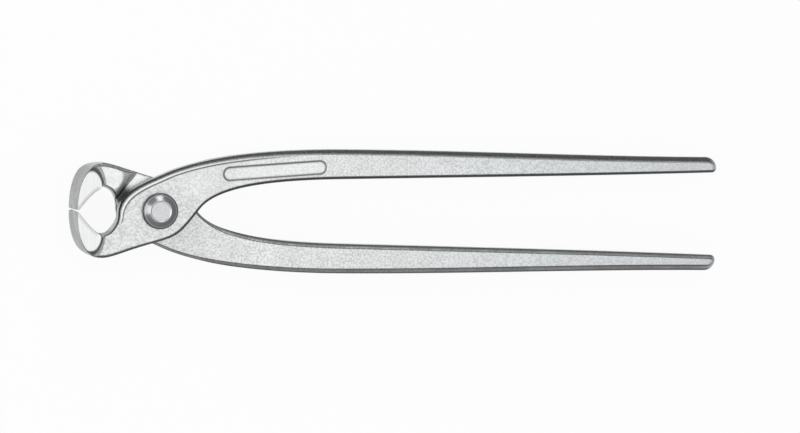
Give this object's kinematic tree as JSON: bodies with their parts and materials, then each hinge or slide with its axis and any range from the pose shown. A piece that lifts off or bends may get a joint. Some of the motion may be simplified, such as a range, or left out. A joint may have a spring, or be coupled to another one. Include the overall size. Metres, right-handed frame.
{
  "type": "concreters nippers",
  "caption": "Concreters nippers: crossed forged steel levers on a rivet, with wide hollow end-cutting jaws and long tapering bare handles, for twisting and cutting binding wire.",
  "frame": {"origin": "on the plane that the side faces of the jaws rest on, under the middle of the length and width of the closed tool", "axes": "+X from the jaws to the handle ends, +Y towards the handle of the front lever, +Z along the rivet towards its flat head"},
  "size_m": [0.25, 0.0478, 0.024],
  "materials": {
    "zinc_plated_steel": "forged, bright zinc plated, satin",
    "rivet_steel": "turned steel, smooth"
  },
  "bodies": {
    "front_half": {"front_lever": "zinc_plated_steel", "pivot_rivet": "rivet_steel"},
    "rear_half": {"rear_lever": "zinc_plated_steel"}
  },
  "joints": [
    {"name": "jaw_hinge", "type": "hinge", "parent": "front_half", "child": "rear_half", "pos_m": [-0.0923, 0, 0.012], "axis": [0, 0, -1], "range_deg": [0, 48]}
  ]
}
